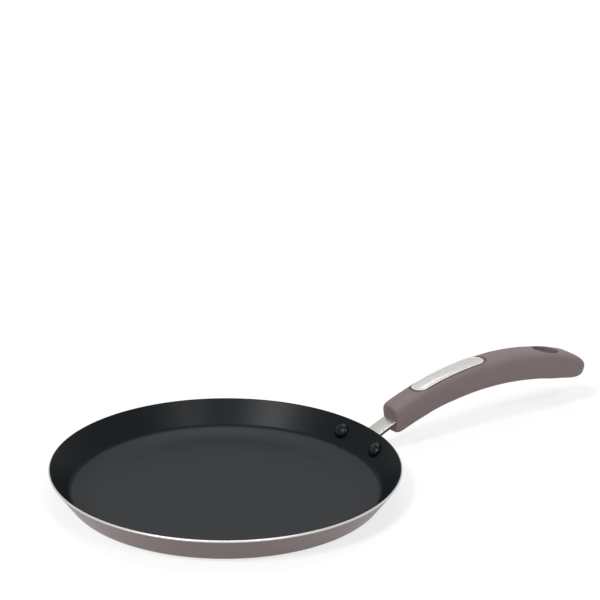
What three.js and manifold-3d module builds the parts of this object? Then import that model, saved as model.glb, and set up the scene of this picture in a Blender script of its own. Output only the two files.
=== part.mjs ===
// Crepe pan: a shallow pressed aluminium dish with a riveted steel bracket and a moulded grip.
// Millimetres, +Z up. The origin is on the dish's axis, in the plane it stands on.
// The handle runs along +X.
import * as THREE from 'three';
import { mergeVertices } from 'three/addons/utils/BufferGeometryUtils.js';
import Module from 'manifold-3d';

const wasm = await Module();
wasm.setup();

const { degToRad, lerp } = THREE.MathUtils;

// Dish
const rimRadius = 120;
const panHeight = 20.5;
const wallAngle = degToRad(54);
const wallThickness = 1.8;
const floorLevel = 2.8;
const floorRounding = 4;
const footRounding = 8;
const footBareAngle = degToRad(20);
const coatThickness = 0.25;
const coatGap = 0.1;
const lipOutside = 1.2;
const coatOverLip = degToRad(64);

// Turned rings under the base
const ringCount = 4;
const ringPitch = 20;
const ringWidth = 2.4;
const ringDepth = 0.5;
const firstRingRadius = 32;

// Bracket and its rivets
const plateThickness = 2.4;
const earRadius = 6.4;
const rivetSpacing = 41;
const rivetHeight = 12.2;
const rivetHeadRadius = 5.6;
const rivetHeadHeight = 3;
const rivetHeadEdge = 0.8;
const rivetShankRadius = 2.5;
const rivetTailRadius = 4.2;
const rivetTailHeight = 1.8;
const neckWidth = 13.8;
const neckRise = degToRad(23.5);
const neckRootHeight = 9.4;
const neckBendRadius = 8;
const neckLength = 25;
const tangLength = 48;
const tangDrop = 0.8;

// Grip
const gripLength = 183.2;
const gripBend = 232;
const gripFrontWidth = 18.5;
const gripEndWidth = 28.5;
const gripFrontHeight = 21.8;
const gripEndHeight = 21.2;
const gripFrontSquareness = 3.4;
const gripEndSquareness = 4.4;
const ellipsePower = 2;
const gripFrontRounding = 2;
const gripEndRounding = 18;
const gripTopRounding = 25;
const gripUnderRounding = 46;
const leastShare = 0.2;

// Inlay plate and hanging hole, placed by their distance from the grip's front along its axis,
// and the screw, set in from the tang's end
const inlayStart = 22;
const inlayEnd = 85.5;
const inlayWidth = 13.6;
const inlayThickness = 1.2;
const inlayProud = 0.2;
const holePlace = 146;
const holeLength = 21.5;
const holeWidth = 17;
const screwInset = 17;
const screwRadius = 2;
const screwHeadRadius = 3.8;
const screwHeadHeight = 2.4;
const screwReach = 3.5;
const screwSlotWidth = 1;
const screwSlotDepth = 1.2;
const washerThickness = 1;
const washerSplit = 1.2;
const webUnderTang = 3.2;

// Clearances
const seatGap = 0.3;
const holeClearance = 0.3;

// Facets
const dishSides = 64;
const fastenerSides = 16;
const sectionSides = 28;
const gripSteps = 30;
const arcSteps = 2;
const outlineSteps = 8;
const lengthSteps = 5;
const mergeDistance = 1e-4;

const sinWall = Math.sin(wallAngle);
const cosWall = Math.cos(wallAngle);
const tanWall = Math.tan(wallAngle);
const floorSide = -Math.PI / 2;
const wallSide = floorSide + wallAngle;
const coatDepth = coatThickness + coatGap;
const lipRounding = wallThickness / 2;
const lipCentre = new THREE.Vector2(rimRadius - lipRounding, panHeight - lipRounding);
const lipInner = wallSide + Math.PI;
const coatEnd = lipInner - coatOverLip;
const through = 2 * panHeight;
const screwPlace = tangLength - screwInset;

// A closed geometry as a solid that can be cut and joined.
function solidOf(geometry, place = new THREE.Matrix4()) {
  const bare = geometry.clone().applyMatrix4(place);
  bare.deleteAttribute('normal');
  bare.deleteAttribute('uv');
  const merged = mergeVertices(bare, mergeDistance);
  const corners = merged.index.array;
  const triangles = [];
  for (let i = 0; i < corners.length; i += 3) {
    const [a, b, c] = corners.slice(i, i + 3);
    if (a !== b && b !== c && c !== a) triangles.push(a, b, c);
  }
  const mesh = new wasm.Mesh({
    numProp: 3,
    vertProperties: new Float32Array(merged.attributes.position.array),
    triVerts: new Uint32Array(triangles),
  });
  return new wasm.Manifold(mesh);
}

function geometryOf(solid) {
  const { vertProperties, triVerts } = solid.getMesh();
  const geometry = new THREE.BufferGeometry();
  geometry.setAttribute('position', new THREE.BufferAttribute(new Float32Array(vertProperties), 3));
  geometry.setIndex(new THREE.BufferAttribute(new Uint32Array(triVerts), 1));
  geometry.computeVertexNormals();
  return geometry;
}

// Turns a profile, drawn anticlockwise as radius and height, about the Z axis.
function revolve(profile, sides) {
  return new THREE.LatheGeometry(profile.getPoints(arcSteps), sides).rotateX(Math.PI / 2);
}

// An outline drawn in X and Z, as thick as width and centred on the XZ plane.
function slab(outline, width) {
  const geometry = new THREE.ExtrudeGeometry(outline, { depth: width, bevelEnabled: false });
  return geometry.translate(0, 0, -width / 2).rotateX(Math.PI / 2);
}

// An upright prism on an outline drawn in X and Y, from a low to a high level.
function prism(outline, low, high, curveSegments = outlineSteps) {
  const options = { depth: high - low, bevelEnabled: false, curveSegments };
  return new THREE.ExtrudeGeometry(outline, options).translate(0, 0, low);
}

// An outline with straight sides and half round ends, its length along X.
function slotOutline(length, width) {
  const reach = length / 2 - width / 2;
  const outline = new THREE.Shape();
  outline.absarc(reach, 0, width / 2, -Math.PI / 2, Math.PI / 2, false);
  outline.absarc(-reach, 0, width / 2, Math.PI / 2, 3 * Math.PI / 2, false);
  return outline;
}

// Radius of the flared wall at a height. Depth counts from the cooking surface to the outside.
function wallRadius(depth, height) {
  return lipCentre.x + (depth - lipRounding) / sinWall - (lipCentre.y - height) / tanWall;
}

// Centre of the rounding between a level floor and the wall.
function cornerCentre(depth, level, rounding) {
  const height = level + rounding;
  return new THREE.Vector2(wallRadius(depth, height) - rounding / sinWall, height);
}

const innerCorner = cornerCentre(0, floorLevel, floorRounding);
const outerCorner = cornerCentre(wallThickness, 0, footRounding);
const lacquerTop = panHeight - lipOutside;

// The bare dish: turned base, flared wall thinned where the coats lie, and a full round lip.
function dishProfile() {
  const profile = new THREE.Path();
  profile.moveTo(0, 0);
  for (let i = 0; i < ringCount; i += 1) {
    const radius = firstRingRadius + i * ringPitch;
    profile.lineTo(radius - ringWidth / 2, 0);
    profile.lineTo(radius, ringDepth);
    profile.lineTo(radius + ringWidth / 2, 0);
  }
  const { x, y } = outerCorner;
  profile.lineTo(x, 0);
  profile.absarc(x, y, footRounding, floorSide, floorSide + footBareAngle, false);
  profile.absarc(x, y, footRounding - coatDepth, floorSide + footBareAngle, wallSide, false);
  profile.lineTo(wallRadius(wallThickness - coatDepth, lacquerTop), lacquerTop);
  profile.lineTo(wallRadius(wallThickness, lacquerTop), lacquerTop);
  profile.absarc(lipCentre.x, lipCentre.y, lipRounding, wallSide, coatEnd, false);
  profile.absarc(lipCentre.x, lipCentre.y, lipRounding - coatDepth, coatEnd, lipInner, false);
  profile.absarc(innerCorner.x, innerCorner.y, floorRounding + coatDepth, wallSide, floorSide, true);
  profile.lineTo(0, floorLevel - coatDepth);
  return profile;
}

// The cooking coat: floor, wall and the inner half of the lip.
function liningProfile() {
  const profile = new THREE.Path();
  const end = coatEnd + coatGap / lipRounding;
  const { x, y } = innerCorner;
  profile.moveTo(0, floorLevel - coatThickness);
  profile.lineTo(x, floorLevel - coatThickness);
  profile.absarc(x, y, floorRounding + coatThickness, floorSide, wallSide, false);
  profile.absarc(lipCentre.x, lipCentre.y, lipRounding - coatThickness, lipInner, end, true);
  profile.absarc(lipCentre.x, lipCentre.y, lipRounding, end, lipInner, false);
  profile.absarc(x, y, floorRounding, wallSide, floorSide, true);
  profile.lineTo(0, floorLevel);
  return profile;
}

function lacquerProfile() {
  const profile = new THREE.Path();
  const top = lacquerTop - coatGap;
  const start = floorSide + footBareAngle + coatGap / footRounding;
  const inside = wallThickness - coatThickness;
  const { x, y } = outerCorner;
  profile.absarc(x, y, footRounding, start, wallSide, false);
  profile.lineTo(wallRadius(wallThickness, top), top);
  profile.lineTo(wallRadius(inside, top), top);
  profile.absarc(x, y, footRounding - coatThickness, wallSide, start, true);
  profile.closePath();
  return profile;
}

// A turned layer of the dish with its rivet holes.
function dishLayer(profile) {
  return geometryOf(drillForRivets(solidOf(revolve(profile, dishSides))));
}

// Rivets stand square to the wall, their local Z pointing into the dish from the cooking surface.
const rivetRadius = wallRadius(0, rivetHeight);
const rivetAzimuth = Math.asin(rivetSpacing / 2 / rivetRadius);
const rivetSides = { left: 1, right: -1 };

function rivetPlace(side) {
  const turn = new THREE.Matrix4().makeRotationZ(side * rivetAzimuth);
  const shift = new THREE.Matrix4().makeTranslation(rivetRadius, 0, rivetHeight);
  return turn.multiply(shift).multiply(new THREE.Matrix4().makeRotationY(-wallAngle));
}

function rivetProfile() {
  const facetRise = rivetRadius * (1 - Math.cos(Math.PI / dishSides));
  const hollowRise = rivetHeadRadius ** 2 * sinWall / (2 * rivetRadius);
  const headSeat = seatGap + facetRise + hollowRise;
  const plateFace = -(wallThickness + seatGap + plateThickness + seatGap);
  const crownHeight = rivetHeadHeight - rivetHeadEdge;
  const tailBase = plateFace - rivetTailHeight;
  const profile = new THREE.Path();
  profile.moveTo(0, tailBase);
  profile.lineTo(rivetTailRadius - rivetTailHeight / 2, tailBase);
  profile.lineTo(rivetTailRadius, tailBase + rivetTailHeight / 2);
  profile.lineTo(rivetTailRadius, plateFace);
  profile.lineTo(rivetShankRadius, plateFace);
  profile.lineTo(rivetShankRadius, headSeat);
  profile.lineTo(rivetHeadRadius, headSeat);
  profile.lineTo(rivetHeadRadius, headSeat + rivetHeadEdge);
  const crownBase = headSeat + rivetHeadEdge;
  profile.absellipse(0, crownBase, rivetHeadRadius, crownHeight, 0, Math.PI / 2, false, 0);
  return profile;
}

// Cuts the two rivet holes through a coat, the dish or the bracket.
function drillForRivets(solid) {
  const drill = new THREE.CylinderGeometry(1, 1, through, fastenerSides).rotateX(Math.PI / 2);
  const radius = rivetShankRadius + holeClearance;
  drill.scale(radius, radius, 1);
  return Object.values(rivetSides).reduce(
    (rest, side) => rest.subtract(solidOf(drill, rivetPlace(side))),
    solid,
  );
}

// The bracket's middle strip, seen from the side: up the wall, round a bend and out along the neck.
const plateInside = wallThickness + seatGap;
const plateMiddle = plateInside + plateThickness / 2;
const earHeight = rivetHeight - plateMiddle * cosWall;
const bendStart = new THREE.Vector2(wallRadius(plateMiddle, neckRootHeight), neckRootHeight);
const bendCentre = new THREE.Vector2(
  bendStart.x + neckBendRadius * sinWall,
  bendStart.y - neckBendRadius * cosWall,
);
const neckSide = Math.PI / 2 + neckRise;
const neckEnd = new THREE.Vector2(
  bendCentre.x + neckBendRadius * Math.cos(neckSide) + neckLength * Math.cos(neckRise),
  bendCentre.y + neckBendRadius * Math.sin(neckSide) + neckLength * Math.sin(neckRise),
);
const tangBend = gripBend - tangDrop;
const tangTop = plateThickness / 2 - tangDrop;
const tangUnder = -plateThickness / 2 - tangDrop;
const gripCentre = new THREE.Vector2(
  neckEnd.x - tangBend * Math.cos(neckSide),
  neckEnd.y - tangBend * Math.sin(neckSide),
);

// One face of the strip, at an offset from its middle, up to a distance inside the grip.
function stripFace(offset, inside) {
  const foot = earHeight - earRadius;
  const bend = neckBendRadius + offset;
  const start = wallSide + Math.PI;
  const path = new THREE.Path();
  path.moveTo(wallRadius(plateMiddle - offset, foot), foot);
  path.lineTo(bendCentre.x + bend * Math.cos(start), bendCentre.y + bend * Math.sin(start));
  path.absarc(bendCentre.x, bendCentre.y, bend, start, neckSide, true);
  path.absarc(gripCentre.x, gripCentre.y, tangBend + offset, neckSide, neckSide - inside / tangBend, true);
  return path.getPoints(lengthSteps);
}

function bracketStrip(growth) {
  const half = plateThickness / 2 + growth;
  const inside = tangLength + growth;
  const outline = new THREE.Shape([...stripFace(half, inside), ...stripFace(-half, inside).reverse()]);
  return solidOf(slab(outline, neckWidth + 2 * growth));
}

// A band of the wall's own taper, trimmed to two round ears that are centred on the rivets.
function bracketPlate() {
  const low = earHeight - 2 * earRadius;
  const high = earHeight + 2 * earRadius;
  const outside = plateInside + plateThickness;
  const band = new THREE.Path();
  band.moveTo(wallRadius(plateInside, low), low);
  band.lineTo(wallRadius(outside, low), low);
  band.lineTo(wallRadius(outside, high), high);
  band.lineTo(wallRadius(plateInside, high), high);
  band.closePath();
  const ears = slotOutline(rivetSpacing + 2 * earRadius, 2 * earRadius);
  const alongX = new THREE.Matrix4().makeBasis(
    new THREE.Vector3(0, 1, 0),
    new THREE.Vector3(0, 0, 1),
    new THREE.Vector3(1, 0, 0),
  );
  alongX.setPosition(0, 0, earHeight);
  return solidOf(revolve(band, dishSides)).intersect(solidOf(prism(ears, 0, 2 * rimRadius), alongX));
}

// All that lies within the outside of the wall and its clearance.
function wallEnvelope() {
  const low = -through;
  const cone = new THREE.Path();
  cone.moveTo(0, low);
  cone.lineTo(wallRadius(plateInside, low), low);
  cone.lineTo(wallRadius(plateInside, through), through);
  cone.lineTo(0, through);
  return solidOf(revolve(cone, dishSides));
}

function screwDrill(radius, low, high) {
  const outline = new THREE.Shape().absarc(0, 0, radius, 0, 2 * Math.PI, false);
  return solidOf(prism(outline, low, high, fastenerSides / 2), alongGrip(screwPlace));
}

function handleBracket() {
  const blank = bracketPlate().add(bracketStrip(0)).subtract(wallEnvelope());
  const low = tangUnder - plateThickness;
  const high = tangTop + plateThickness;
  return drillForRivets(blank).subtract(screwDrill(screwRadius + holeClearance, low, high));
}

// Frame on the grip's bent axis: X along it, Z to its top.
function alongGrip(distance) {
  const turn = distance / gripBend - neckRise;
  const place = new THREE.Matrix4().makeRotationY(turn);
  return place.setPosition(
    gripCentre.x + gripBend * Math.sin(turn),
    0,
    gripCentre.y + gripBend * Math.cos(turn),
  );
}

// Quarter round fall to the grip's end, over a length of it.
function endFall(distance, length) {
  const left = Math.min((gripLength - distance) / length, 1);
  return Math.sqrt(1 - (1 - left) ** 2);
}

// Reach of the grip's surface from its axis, with its eased front edge and its rounded end,
// where the squarish section turns into an ellipse.
function gripSection(distance) {
  const share = distance / gripLength;
  const toFront = Math.max(gripFrontRounding - distance, 0);
  const ease = gripFrontRounding - Math.sqrt(gripFrontRounding ** 2 - toFront ** 2);
  const halfWidth = lerp(gripFrontWidth, gripEndWidth, share) / 2;
  const halfHeight = lerp(gripFrontHeight, gripEndHeight, share ** 2) / 2;
  const squareness = lerp(gripFrontSquareness, gripEndSquareness, share);
  const fall = endFall(distance, gripEndRounding);
  return {
    bow: ellipsePower / lerp(ellipsePower, squareness, fall),
    side: halfWidth * fall - ease,
    top: halfHeight * endFall(distance, gripTopRounding) - ease,
    under: halfHeight * endFall(distance, gripUnderRounding) - ease,
  };
}

// The grip's outer form as a loft of superellipses, drawn in by an inset.
function gripForm(inset) {
  const points = [new THREE.Vector3(0, 0, 0).applyMatrix4(alongGrip(0))];
  for (let i = 0; i < gripSteps; i += 1) {
    const distance = gripLength * (1 - Math.cos(Math.PI * i / gripSteps)) / 2;
    const { bow, side, top, under } = gripSection(distance);
    const drawIn = (reach) => Math.max(reach - inset, reach * leastShare);
    for (let j = 0; j < sectionSides; j += 1) {
      const angle = 2 * Math.PI * j / sectionSides;
      const across = Math.sign(Math.cos(angle)) * Math.abs(Math.cos(angle)) ** bow;
      const up = Math.sign(Math.sin(angle)) * Math.abs(Math.sin(angle)) ** bow;
      const point = new THREE.Vector3(0, across * drawIn(side), up * drawIn(up > 0 ? top : under));
      points.push(point.applyMatrix4(alongGrip(distance)));
    }
  }
  points.push(new THREE.Vector3(0, 0, 0).applyMatrix4(alongGrip(gripLength)));
  const triangles = [];
  const last = points.length - 1;
  const corner = (ring, side) => 1 + ring * sectionSides + side % sectionSides;
  for (let j = 0; j < sectionSides; j += 1) {
    triangles.push(0, corner(0, j + 1), corner(0, j));
    for (let i = 0; i < gripSteps - 1; i += 1) {
      triangles.push(corner(i, j), corner(i, j + 1), corner(i + 1, j + 1));
      triangles.push(corner(i, j), corner(i + 1, j + 1), corner(i + 1, j));
    }
    triangles.push(last, corner(gripSteps - 1, j), corner(gripSteps - 1, j + 1));
  }
  const geometry = new THREE.BufferGeometry().setFromPoints(points);
  return solidOf(geometry.setIndex(triangles));
}

// The inlay's outline carried upwards from the grip's axis.
function inlayPrism(growth) {
  const outline = slotOutline(inlayEnd - inlayStart + 2 * growth, inlayWidth + 2 * growth);
  return solidOf(prism(outline, 0, 2 * gripFrontHeight), alongGrip((inlayStart + inlayEnd) / 2));
}

function inlayPlate() {
  return gripForm(-inlayProud).intersect(inlayPrism(0)).subtract(gripForm(inlayThickness));
}

const screwSeat = tangUnder - seatGap - webUnderTang;
const screwTip = tangTop + screwReach;

// Hollows of the grip: tang socket, inlay bed, hanging hole and the screw's stepped bore.
function handleGrip() {
  const bed = inlayPrism(holeClearance).subtract(gripForm(inlayThickness + seatGap));
  const hole = new THREE.Shape().absellipse(0, 0, holeLength / 2, holeWidth / 2, 0, 2 * Math.PI, false, 0);
  const holeCentre = new THREE.Vector3(0, 0, 0).applyMatrix4(alongGrip(holePlace));
  const upright = new THREE.Matrix4().setPosition(holeCentre);
  return gripForm(0)
    .subtract(bracketStrip(seatGap))
    .subtract(bed)
    .subtract(solidOf(prism(hole, -2 * gripEndHeight, 2 * gripEndHeight), upright))
    .subtract(screwDrill(screwRadius + holeClearance, screwSeat - seatGap, screwTip + seatGap))
    .subtract(screwDrill(screwHeadRadius + holeClearance, -gripFrontHeight, screwSeat));
}

function screwProfile() {
  const underHead = screwSeat - seatGap - washerThickness - seatGap;
  const head = underHead - screwHeadHeight;
  const profile = new THREE.Path();
  profile.absellipse(0, underHead, screwHeadRadius, screwHeadHeight, floorSide, 0, false, 0);
  profile.lineTo(screwRadius, underHead);
  profile.lineTo(screwRadius, screwTip - screwRadius / 2);
  profile.lineTo(screwRadius / 2, screwTip);
  profile.lineTo(0, screwTip);
  return { profile, head };
}

// The screw with its cross slot.
function gripScrew() {
  const { profile, head } = screwProfile();
  const slot = new THREE.BoxGeometry(screwHeadRadius, screwSlotWidth, 2 * screwSlotDepth);
  slot.translate(0, 0, head);
  const crossSlot = slot.clone().rotateZ(Math.PI / 2);
  return solidOf(revolve(profile, fastenerSides)).subtract(solidOf(slot)).subtract(solidOf(crossSlot));
}

// A split ring between the screw's head and its seat.
function springWasher() {
  const high = screwSeat - seatGap;
  const low = high - washerThickness;
  const ring = new THREE.Path();
  ring.moveTo(screwRadius + holeClearance, low);
  ring.lineTo(screwHeadRadius, low);
  ring.lineTo(screwHeadRadius, high);
  ring.lineTo(screwRadius + holeClearance, high);
  ring.closePath();
  const gap = new THREE.BoxGeometry(2 * screwHeadRadius, washerSplit, 2 * washerThickness);
  gap.translate(screwHeadRadius, 0, (low + high) / 2);
  return solidOf(revolve(ring, fastenerSides)).subtract(solidOf(gap));
}

const pan = new THREE.Group();

function addPart(parent, name, geometry, finish) {
  const mesh = new THREE.Mesh(geometry, new THREE.MeshStandardMaterial(finish));
  mesh.name = name;
  parent.add(mesh);
}

function placed(matrix) {
  const group = new THREE.Group();
  group.applyMatrix4(matrix);
  pan.add(group);
  return group;
}

const bareAluminium = { color: 0xd9d8d8, roughness: 0.3, metalness: 1 };
const blackNonstick = { color: 0x2c2e2f, roughness: 0.45, metalness: 0 };
const taupeLacquer = { color: 0x776b6b, roughness: 0.4, metalness: 0.1 };
const satinSteel = { color: 0xcccac8, roughness: 0.35, metalness: 1 };
const softGrip = { color: 0x746968, roughness: 0.6, metalness: 0 };
const zincSteel = { color: 0xb4b6b8, roughness: 0.4, metalness: 1 };

addPart(pan, 'pan_body', dishLayer(dishProfile()), bareAluminium);
addPart(pan, 'nonstick_lining', dishLayer(liningProfile()), blackNonstick);
addPart(pan, 'outer_lacquer', dishLayer(lacquerProfile()), taupeLacquer);
for (const [name, side] of Object.entries(rivetSides)) {
  const rivet = geometryOf(solidOf(revolve(rivetProfile(), fastenerSides)));
  addPart(placed(rivetPlace(side)), `rivet_${name}`, rivet, blackNonstick);
}
addPart(pan, 'handle_bracket', geometryOf(handleBracket()), satinSteel);
addPart(pan, 'handle_grip', geometryOf(handleGrip()), softGrip);
addPart(pan, 'inlay_plate', geometryOf(inlayPlate()), satinSteel);
const screwAxis = placed(alongGrip(screwPlace));
addPart(screwAxis, 'grip_screw', geometryOf(gripScrew()), zincSteel);
addPart(screwAxis, 'spring_washer', geometryOf(springWasher()), zincSteel);

export default pan;
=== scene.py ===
import math
import bmesh
import bpy
from mathutils import Matrix, Vector


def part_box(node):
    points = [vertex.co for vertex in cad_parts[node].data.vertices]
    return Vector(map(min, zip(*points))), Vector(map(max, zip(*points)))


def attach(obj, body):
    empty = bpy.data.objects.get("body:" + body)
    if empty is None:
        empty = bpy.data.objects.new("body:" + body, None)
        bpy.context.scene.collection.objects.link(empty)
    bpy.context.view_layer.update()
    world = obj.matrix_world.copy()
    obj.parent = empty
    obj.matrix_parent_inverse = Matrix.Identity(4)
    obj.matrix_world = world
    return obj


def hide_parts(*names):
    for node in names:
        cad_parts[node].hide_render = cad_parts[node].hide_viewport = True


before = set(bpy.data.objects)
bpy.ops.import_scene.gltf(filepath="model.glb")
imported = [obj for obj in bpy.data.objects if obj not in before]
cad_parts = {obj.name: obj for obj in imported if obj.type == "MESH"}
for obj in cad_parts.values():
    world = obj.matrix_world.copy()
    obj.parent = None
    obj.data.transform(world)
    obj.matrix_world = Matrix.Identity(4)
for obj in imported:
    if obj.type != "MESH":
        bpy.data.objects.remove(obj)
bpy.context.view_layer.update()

mm = 0.001
weldDistance = 0.002 * mm
wholeTurn = 2 * math.pi


# Finishes

shaderSockets = {
    "metallic": "Metallic",
    "roughness": "Roughness",
    "specular": "Specular IOR Level",
    "coat": "Coat Weight",
    "coatRoughness": "Coat Roughness",
}


def startFinish(name, look):
    finish = bpy.data.materials.new(name)
    finish.use_nodes = True
    finish.diffuse_color = (*look["color"], 1)
    shader = finish.node_tree.nodes["Principled BSDF"]
    shader.inputs["Base Color"].default_value = (*look["color"], 1)
    for value, socket in shaderSockets.items():
        if value in look:
            shader.inputs[socket].default_value = look[value]
    return finish, shader


def addNode(finish, kind, **settings):
    node = finish.node_tree.nodes.new(kind)
    for name, value in settings.items():
        setattr(node, name, value)
    return node


def join(finish, output, socket):
    finish.node_tree.links.new(output, socket)


# Noise on the object's own coordinates, stretched by a scale for each axis
def grain(finish, scale, stretch=(1, 1, 1), detail=3):
    place = addNode(finish, "ShaderNodeTexCoord")
    mapping = addNode(finish, "ShaderNodeMapping")
    mapping.inputs["Scale"].default_value = stretch
    noise = addNode(finish, "ShaderNodeTexNoise")
    noise.inputs["Scale"].default_value = scale
    noise.inputs["Detail"].default_value = detail
    join(finish, place.outputs["Object"], mapping.inputs["Vector"])
    join(finish, mapping.outputs["Vector"], noise.inputs["Vector"])
    return noise.outputs["Fac"]


# Distance from the dish's axis
def axisDistance(finish):
    place = addNode(finish, "ShaderNodeTexCoord")
    flat = addNode(finish, "ShaderNodeVectorMath", operation="MULTIPLY")
    flat.inputs[1].default_value = (1, 1, 0)
    length = addNode(finish, "ShaderNodeVectorMath", operation="LENGTH")
    join(finish, place.outputs["Object"], flat.inputs[0])
    join(finish, flat.outputs["Vector"], length.inputs[0])
    return length.outputs["Value"]


# Fine rings as a lathe leaves them
def latheMarks(finish, pitch, detail):
    noise = addNode(finish, "ShaderNodeTexNoise", noise_dimensions="1D")
    noise.inputs["Scale"].default_value = 1 / pitch
    noise.inputs["Detail"].default_value = detail
    join(finish, axisDistance(finish), noise.inputs["W"])
    return noise.outputs["Fac"]


# Maps a range of values, by default the middle of a noise, to another
def spread(finish, value, low, high, fromLow=0.3, fromHigh=0.7, smooth=False):
    node = addNode(finish, "ShaderNodeMapRange")
    node.interpolation_type = "SMOOTHSTEP" if smooth else "LINEAR"
    node.inputs["From Min"].default_value = fromLow
    node.inputs["From Max"].default_value = fromHigh
    node.inputs["To Min"].default_value = low
    node.inputs["To Max"].default_value = high
    join(finish, value, node.inputs["Value"])
    return node.outputs["Result"]


# Adds to the relief that the shader has already
def relief(finish, shader, height, depth, strength=1):
    bump = addNode(finish, "ShaderNodeBump")
    bump.inputs["Strength"].default_value = strength
    bump.inputs["Distance"].default_value = depth
    join(finish, height, bump.inputs["Height"])
    for link in shader.inputs["Normal"].links:
        join(finish, link.from_socket, bump.inputs["Normal"])
    join(finish, bump.outputs["Normal"], shader.inputs["Normal"])
    return bump.outputs["Normal"]


def blendColors(finish, factor, first, second):
    mix = addNode(finish, "ShaderNodeMix", data_type="RGBA")
    mix.inputs[6].default_value = (*first, 1)  # colour A
    mix.inputs[7].default_value = (*second, 1)  # colour B
    join(finish, factor, mix.inputs[0])
    return mix.outputs[2]


def shade(color, factor):
    return tuple(part * factor for part in color)


def varyColor(finish, shader, look, value):
    darker, lighter = (shade(look["color"], tone) for tone in look["tones"])
    tone = blendColors(finish, spread(finish, value, 0, 1), darker, lighter)
    join(finish, tone, shader.inputs["Base Color"])


def varyRoughness(finish, shader, look, value):
    low = look["roughness"] - look["roughnessSpan"]
    high = look["roughness"] + look["roughnessSpan"]
    join(finish, spread(finish, value, low, high), shader.inputs["Roughness"])


def turnedAluminium():
    look = {
        "color": (0.57, 0.557, 0.557),
        "metallic": 1,
        "roughness": 0.3,
        "roughnessSpan": 0.06,
        "markPitch": 0.5 * mm,
        "markDetail": 2,
        "markDepth": 0.02 * mm,
        "markStrength": 0.6,
    }
    finish, shader = startFinish("turnedAluminium", look)
    marks = latheMarks(finish, look["markPitch"], look["markDetail"])
    varyRoughness(finish, shader, look, marks)
    relief(finish, shader, marks, look["markDepth"], look["markStrength"])
    return finish


# Darker on the wall than on the floor: the floor's lighter colour is a painted reflection of the
# pale surroundings. The relief deepens the curve of the floor's edge
def blackNonstick():
    look = {
        "color": (0.0008, 0.0026, 0.004),
        "floorColorPaintedReflection": (0.0205, 0.0226, 0.0254),
        "metallic": 0,
        "roughness": 0.6,
        "roughnessSpan": 0.05,
        "specular": 0,
        "coat": 0.27,
        "coatRoughness": 0.4,
        "stippleScale": 1100,
        "stippleDetail": 2,
        "stippleDepth": 0.06 * mm,
        "stippleStrength": 0.4,
    }
    floorEdge = {"start": 82 * mm, "end": 104 * mm, "gone": 105.6 * mm}
    climb = {"rise": 4.8 * mm, "power": 2, "cap": 0.87, "ease": 0.14}
    finish, shader = startFinish("blackNonstick", look)
    radius = axisDistance(finish)
    onWall = spread(finish, radius, 0, 1, floorEdge["end"], floorEdge["gone"], smooth=True)
    # The floor takes the painted reflection, the wall the coat's own near black
    tone = blendColors(finish, onWall, look["floorColorPaintedReflection"], look["color"])
    join(finish, tone, shader.inputs["Base Color"])
    alongEdge = spread(finish, radius, 0, 1, floorEdge["start"], floorEdge["gone"])
    rising = addNode(finish, "ShaderNodeMath", operation="POWER")
    rising.inputs[1].default_value = climb["power"]
    join(finish, alongEdge, rising.inputs[0])
    dished = addNode(finish, "ShaderNodeMath", operation="SMOOTH_MIN")
    dished.inputs[1].default_value = climb["cap"]
    dished.inputs[2].default_value = climb["ease"]
    join(finish, rising.outputs["Value"], dished.inputs[0])
    curve = relief(finish, shader, dished.outputs["Value"], climb["rise"])
    join(finish, curve, shader.inputs["Coat Normal"])
    stipple = grain(finish, look["stippleScale"], detail=look["stippleDetail"])
    varyRoughness(finish, shader, look, stipple)
    relief(finish, shader, stipple, look["stippleDepth"], look["stippleStrength"])
    return finish


def taupeLacquer():
    look = {
        "color": (0.153, 0.108, 0.107),
        "tones": (0.94, 1.06),
        "metallic": 0.1,
        "roughness": 0.36,
        "specular": 0.3,
        "coat": 0.1,
        "coatRoughness": 0.2,
        "flakeScale": 2600,
        "flakeDetail": 1,
        "waveScale": 500,
        "waveDepth": 0.02 * mm,
        "waveStrength": 0.3,
    }
    finish, shader = startFinish("taupeLacquer", look)
    varyColor(finish, shader, look, grain(finish, look["flakeScale"], detail=look["flakeDetail"]))
    waves = grain(finish, look["waveScale"])
    relief(finish, shader, waves, look["waveDepth"], look["waveStrength"])
    return finish


def blackRivet():
    look = {
        "color": (0.002, 0.0022, 0.0024),
        "metallic": 0,
        "roughness": 0.27,
        "roughnessSpan": 0.05,
        "specular": 0.16,
        "stippleScale": 900,
        "stippleDetail": 2,
        "stippleDepth": 0.03 * mm,
        "stippleStrength": 0.4,
    }
    finish, shader = startFinish("blackRivet", look)
    stipple = grain(finish, look["stippleScale"], detail=look["stippleDetail"])
    varyRoughness(finish, shader, look, stipple)
    relief(finish, shader, stipple, look["stippleDepth"], look["stippleStrength"])
    return finish


# Satin metal with its brush lines along the handle
def satinMetal(name, color, roughness):
    look = {
        "color": color,
        "tones": (0.95, 1.04),
        "metallic": 1,
        "roughness": roughness,
        "roughnessSpan": 0.06,
        "lineScale": 1800,
        "lineStretch": (0.03, 1, 1),
        "lineDepth": 0.015 * mm,
        "lineStrength": 0.4,
    }
    finish, shader = startFinish(name, look)
    lines = grain(finish, look["lineScale"], stretch=look["lineStretch"])
    varyRoughness(finish, shader, look, lines)
    varyColor(finish, shader, look, lines)
    relief(finish, shader, lines, look["lineDepth"], look["lineStrength"])
    return finish


def softTouch(name, color):
    look = {
        "color": color,
        "tones": (0.97, 1.03),
        "metallic": 0,
        "roughness": 0.58,
        "roughnessSpan": 0.06,
        "specular": 0.4,
        "patchScale": 60,
        "stippleScale": 2400,
        "stippleDetail": 2,
        "stippleDepth": 0.03 * mm,
        "stippleStrength": 0.35,
    }
    finish, shader = startFinish(name, look)
    stipple = grain(finish, look["stippleScale"], detail=look["stippleDetail"])
    varyRoughness(finish, shader, look, stipple)
    varyColor(finish, shader, look, grain(finish, look["patchScale"]))
    relief(finish, shader, stipple, look["stippleDepth"], look["stippleStrength"])
    return finish
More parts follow.
